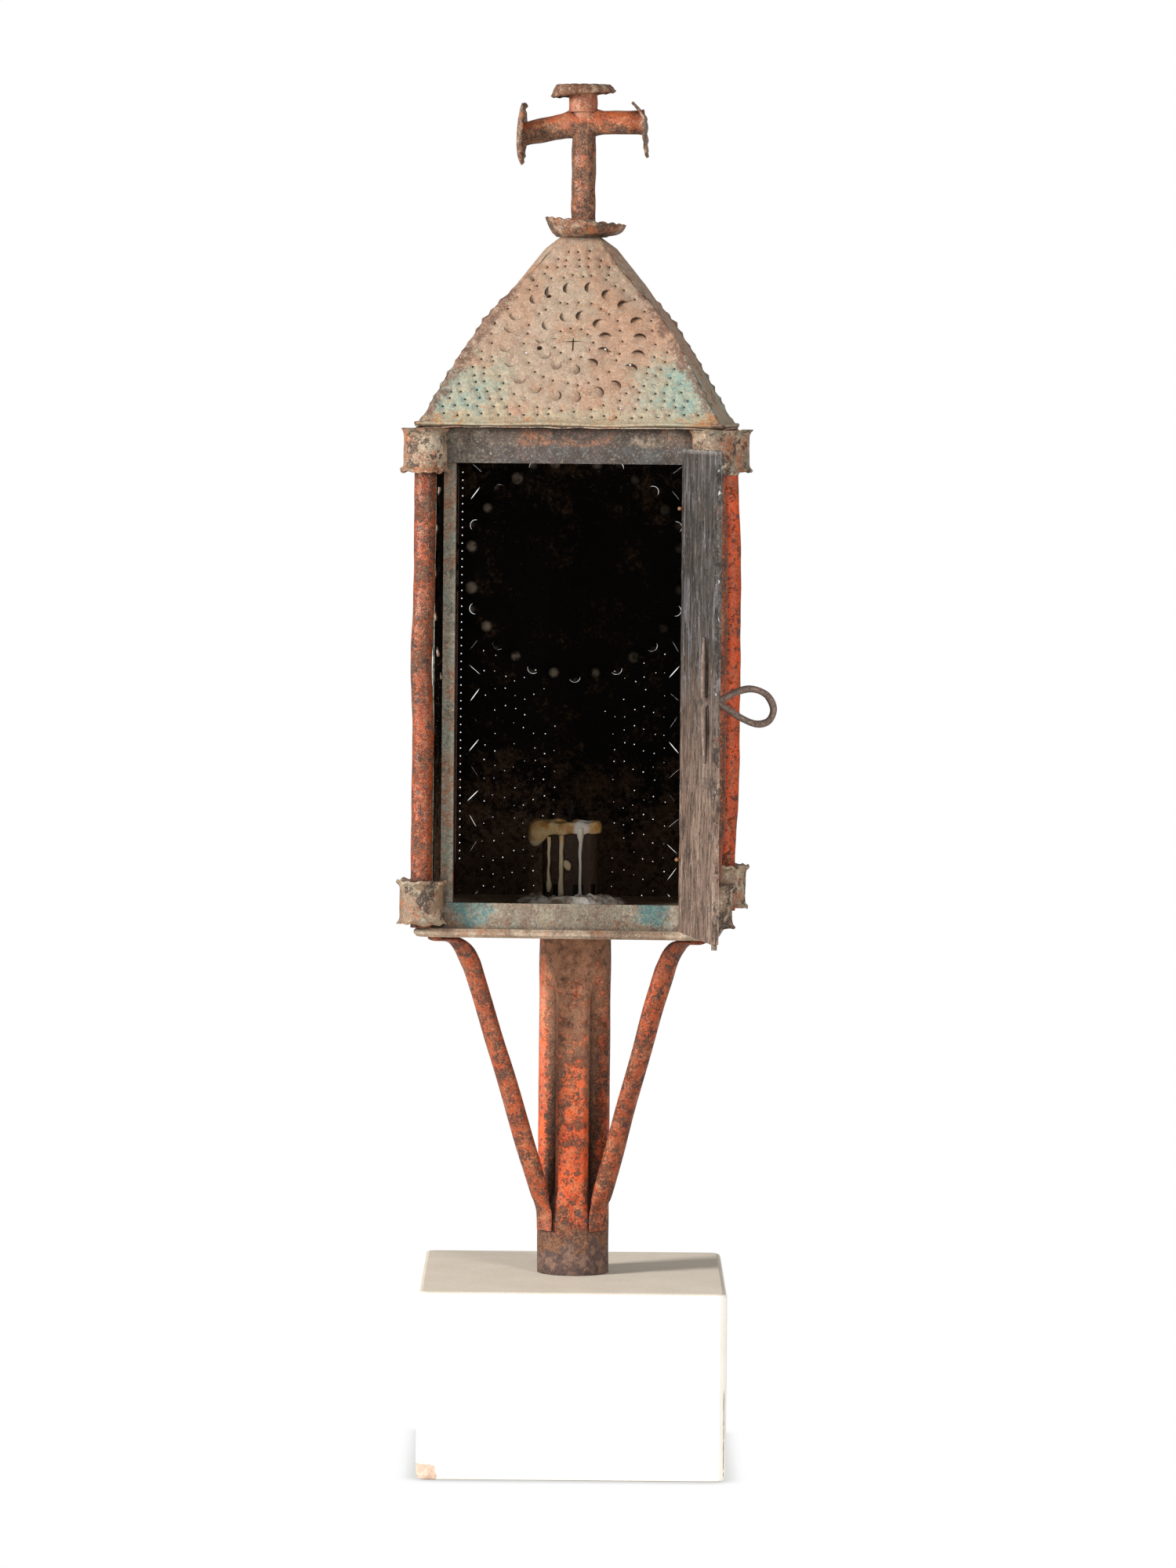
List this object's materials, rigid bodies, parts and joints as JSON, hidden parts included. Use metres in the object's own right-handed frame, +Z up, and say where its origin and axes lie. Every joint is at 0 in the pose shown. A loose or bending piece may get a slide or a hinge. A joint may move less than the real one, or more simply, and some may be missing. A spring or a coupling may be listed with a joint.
{
  "type": "pierced tin lantern",
  "caption": "Pierced tin lantern with a pyramid roof, cross finial, wooden door on wire hinges, wax-covered candle socket and fluted pole socket, on a wooden block.",
  "frame": {"origin": "middle of the block's underside, on the axis of the pole socket", "axes": "+Z up, the door opening faces -Y, the door hangs on the +X side"},
  "size_m": [0.2408, 0.3621, 0.873],
  "materials": {
    "painted_block": "white paint, matt, chipped at the edges",
    "bare_wood": "bare",
    "grey_wood": "weathered, sooty",
    "red_paint": "worn orange-red paint over rust",
    "rusty_tin": "rusty, with remains of paint",
    "dark_tin": "dark rust",
    "roof_tin": "pinkish rust with blue-green patches",
    "sooty_tin": "sooty",
    "rusty_wire": "brown iron, worn",
    "wax": "waxy",
    "charred_wick": "charred"
  },
  "bodies": {
    "stand": {"display_block": "painted_block", "stub_pole": "bare_wood"},
    "lantern": {"pole_socket": "red_paint", "brace_left": "red_paint", "brace_right": "red_paint", "floor_tray": "rusty_tin", "bottom_rail": "rusty_tin", "top_rail": "dark_tin", "jamb_left": "rusty_tin", "jamb_right": "rusty_tin", "post_front_left": "red_paint", "base_collar_front_left": "rusty_tin", "top_collar_front_left": "rusty_tin", "post_front_right": "red_paint", "base_collar_front_right": "rusty_tin", "top_collar_front_right": "rusty_tin", "post_back_left": "red_paint", "base_collar_back_left": "rusty_tin", "top_collar_back_left": "rusty_tin", "post_back_right": "red_paint", "base_collar_back_right": "rusty_tin", "top_collar_back_right": "rusty_tin", "wall_back": "sooty_tin", "wall_left": "sooty_tin", "wall_right": "sooty_tin", "cornice_plate": "rusty_tin", "roof_panel_front": "roof_tin", "roof_panel_right": "roof_tin", "roof_panel_back": "roof_tin", "roof_panel_left": "roof_tin", "neck_ring": "rusty_tin", "scalloped_dish": "dark_tin", "cross_stem": "red_paint", "cross_sleeve": "red_paint", "cross_arm_left": "red_paint", "cross_arm_right": "red_paint", "rosette_top": "dark_tin", "rosette_left": "dark_tin", "rosette_right": "dark_tin", "candle_socket": "sooty_tin", "candle_stub": "wax", "candle_wick": "charred_wick", "wax_rim": "wax", "wax_pool": "wax", "hinge_pintle_upper": "rusty_wire", "hinge_pintle_lower": "rusty_wire"},
    "door": {"door_board": "grey_wood", "door_pull": "rusty_wire", "door_pin": "rusty_wire", "hinge_eye_upper": "rusty_wire", "hinge_eye_lower": "rusty_wire"}
  },
  "joints": [
    {"name": "lift_off", "type": "slide", "parent": "stand", "child": "lantern", "axis": [0, 0, 1], "range_m": [0, 0.05]},
    {"name": "door_swing", "type": "hinge", "parent": "lantern", "child": "door", "pos_m": [0.079, -0.0955, 0.497], "axis": [0, 0, 1], "range_deg": [-101, 38]}
  ]
}
